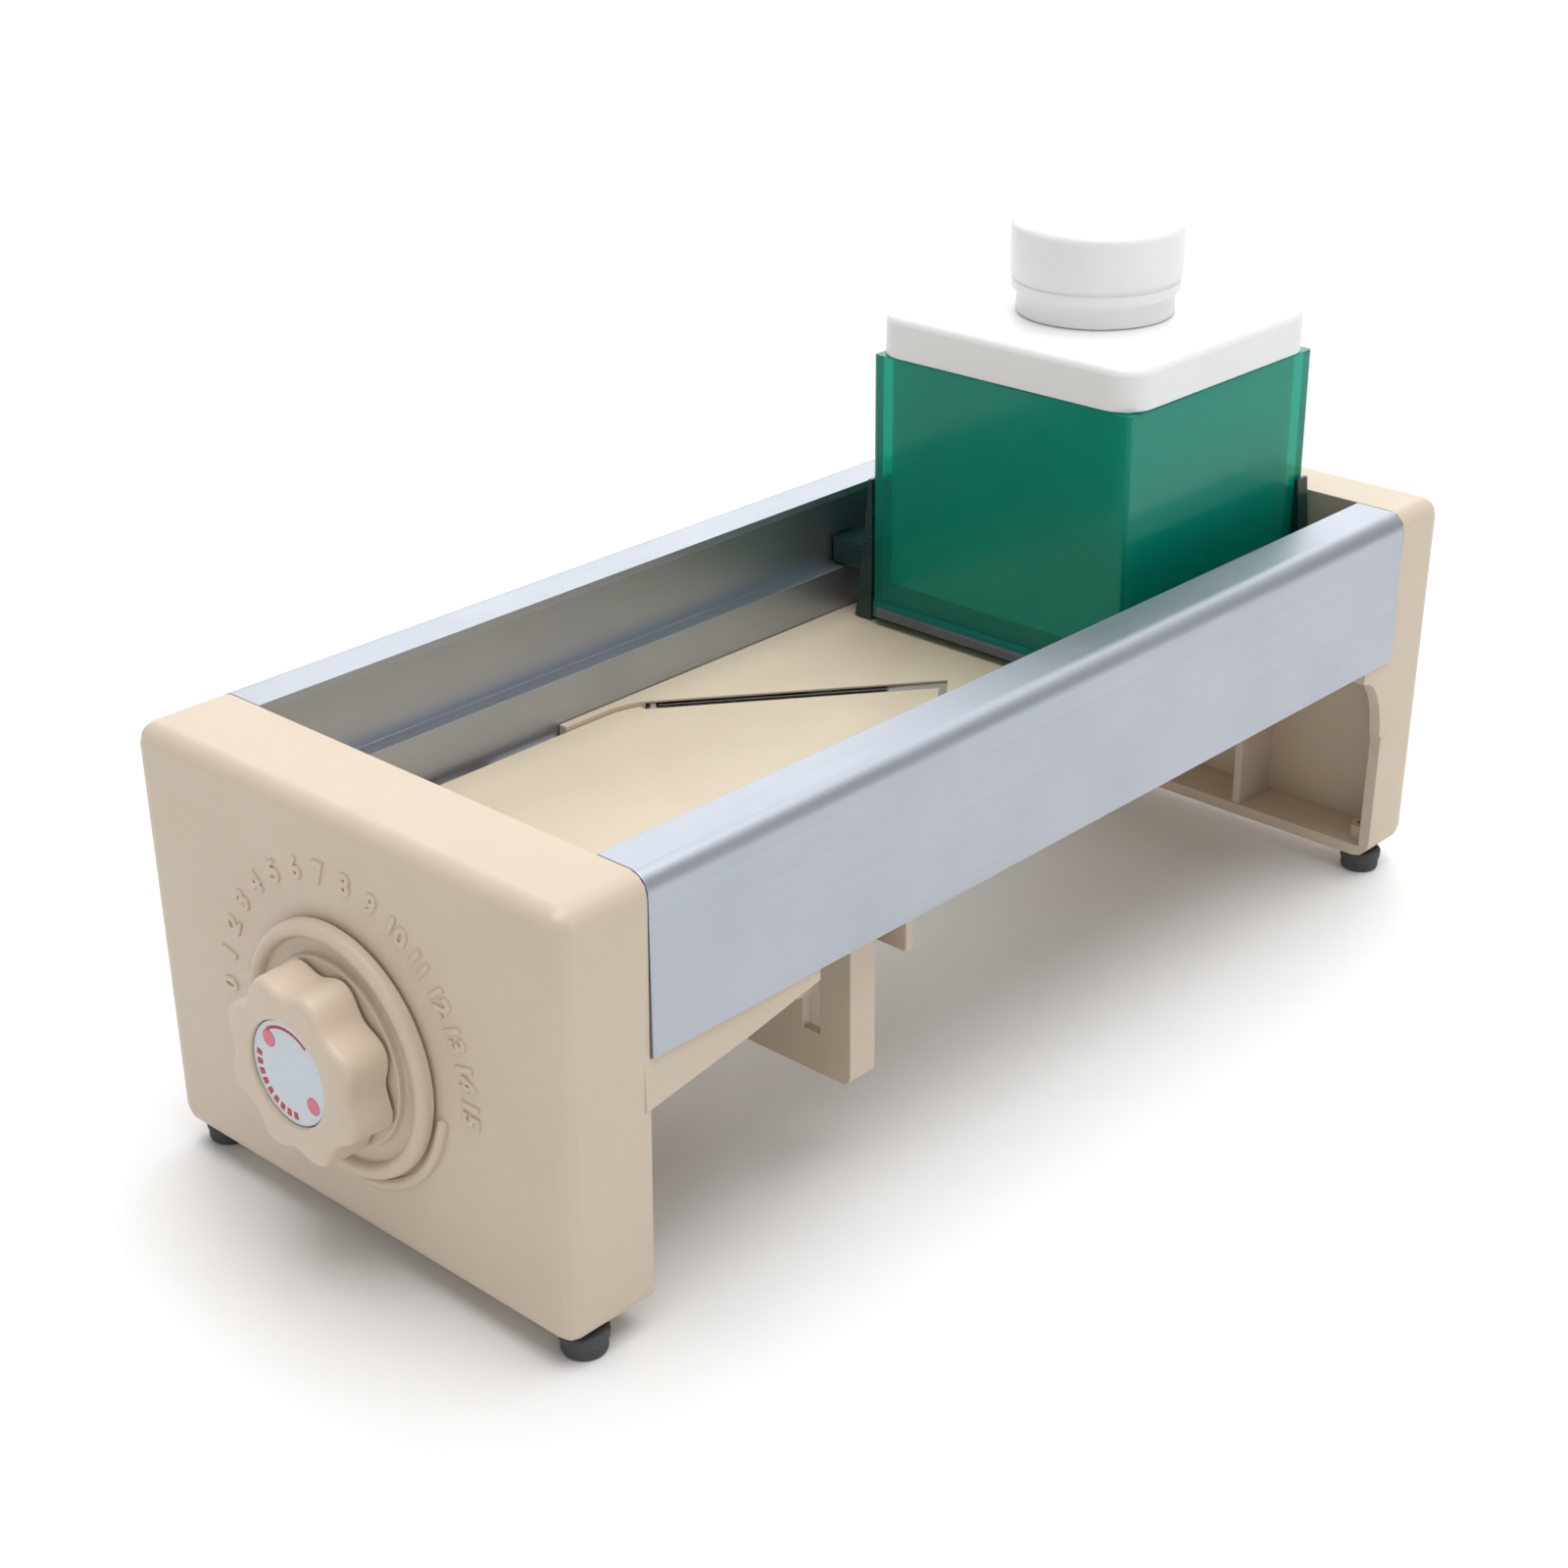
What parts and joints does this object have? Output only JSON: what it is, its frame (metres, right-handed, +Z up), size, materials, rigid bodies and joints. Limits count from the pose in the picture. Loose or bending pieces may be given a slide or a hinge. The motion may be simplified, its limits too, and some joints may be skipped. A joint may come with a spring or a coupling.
{
  "type": "mandoline slicer",
  "caption": "Bench mandoline slicer with a rail-guided food box and pusher, V blades and a dial on the front that sets slice thickness.",
  "frame": {"origin": "on the ground, under the middle of the object's bounding box", "axes": "+Y from the dial end to the rear end along the rails, +Z up, +X to the right seen from the dial"},
  "size_m": [0.172, 0.42, 0.2297],
  "materials": {
    "beige_plastic": "satin moulded",
    "rail_aluminium": "satin anodised",
    "blade_steel": "ground",
    "bright_steel": "plated",
    "white_plastic": "satin moulded",
    "clear_green": "clear tinted plastic",
    "dark_green": "gloss",
    "foot_rubber": "matt",
    "label_foil": "printed",
    "bush_bronze": "turned"
  },
  "bodies": {
    "base": {"front_cap": "beige_plastic", "rear_cap": "beige_plastic", "rail_left": "rail_aluminium", "rail_right": "rail_aluminium", "rear_deck": "beige_plastic", "blade_bridge": "beige_plastic", "blade_holder": "white_plastic", "blade_left": "blade_steel", "blade_right": "blade_steel", "bush_front": "bush_bronze", "bush_rear": "bush_bronze", "detent_ball": "bright_steel", "detent_spring": "bright_steel", "foot_front_left": "foot_rubber", "foot_front_right": "foot_rubber", "foot_rear_left": "foot_rubber", "foot_rear_right": "foot_rubber", "foot_screw_front_left": "bright_steel", "foot_screw_front_right": "bright_steel", "foot_screw_rear_left": "bright_steel", "foot_screw_rear_right": "bright_steel", "rail_screw_front_left": "bright_steel", "rail_screw_front_right": "bright_steel", "rail_screw_rear_left": "bright_steel", "rail_screw_rear_right": "bright_steel", "bridge_screw_left": "bright_steel", "bridge_screw_right": "bright_steel", "blade_screw_left_1": "bright_steel", "blade_screw_left_2": "bright_steel", "blade_screw_right_1": "bright_steel", "blade_screw_right_2": "bright_steel", "holder_screw_left": "bright_steel", "holder_screw_right": "bright_steel"},
    "dial": {"dial_disc": "beige_plastic", "dial_knob": "beige_plastic", "dial_label": "label_foil", "knob_screw": "bright_steel", "adjusting_shaft": "bright_steel", "shaft_clip": "bright_steel", "cam_front": "white_plastic", "cam_rear": "white_plastic"},
    "table": {"thickness_table": "beige_plastic", "lift_pad_front": "white_plastic", "lift_pad_rear": "white_plastic", "guide_pin_left": "bright_steel", "guide_pin_right": "bright_steel"},
    "carriage": {"carriage_box": "clear_green", "runner_left": "dark_green", "runner_right": "dark_green"},
    "pusher": {"pusher_block": "white_plastic", "pusher_knob": "white_plastic", "pusher_screw": "bright_steel", "prong_plate": "white_plastic", "prong_screw_left": "bright_steel", "prong_screw_right": "bright_steel"}
  },
  "joints": [
    {"name": "dial_turn", "type": "hinge", "parent": "base", "child": "dial", "pos_m": [0, -0.19, 0.0659], "axis": [0, 1, 0], "range_deg": [-18, 162]},
    {"name": "table_lift", "type": "slide", "parent": "base", "child": "table", "axis": [0, 0, 1], "range_m": [-0.0135, 0.0015]},
    {"name": "carriage_slide", "type": "slide", "parent": "base", "child": "carriage", "axis": [0, 1, 0], "range_m": [-0.234, 0.006]},
    {"name": "pusher_press", "type": "slide", "parent": "carriage", "child": "pusher", "axis": [0, 0, 1], "range_m": [0, 0.07]}
  ],
  "couplings": [
    {"joint": "table_lift", "follows": "dial_turn", "m_per_rad": -0.0047746}
  ]
}
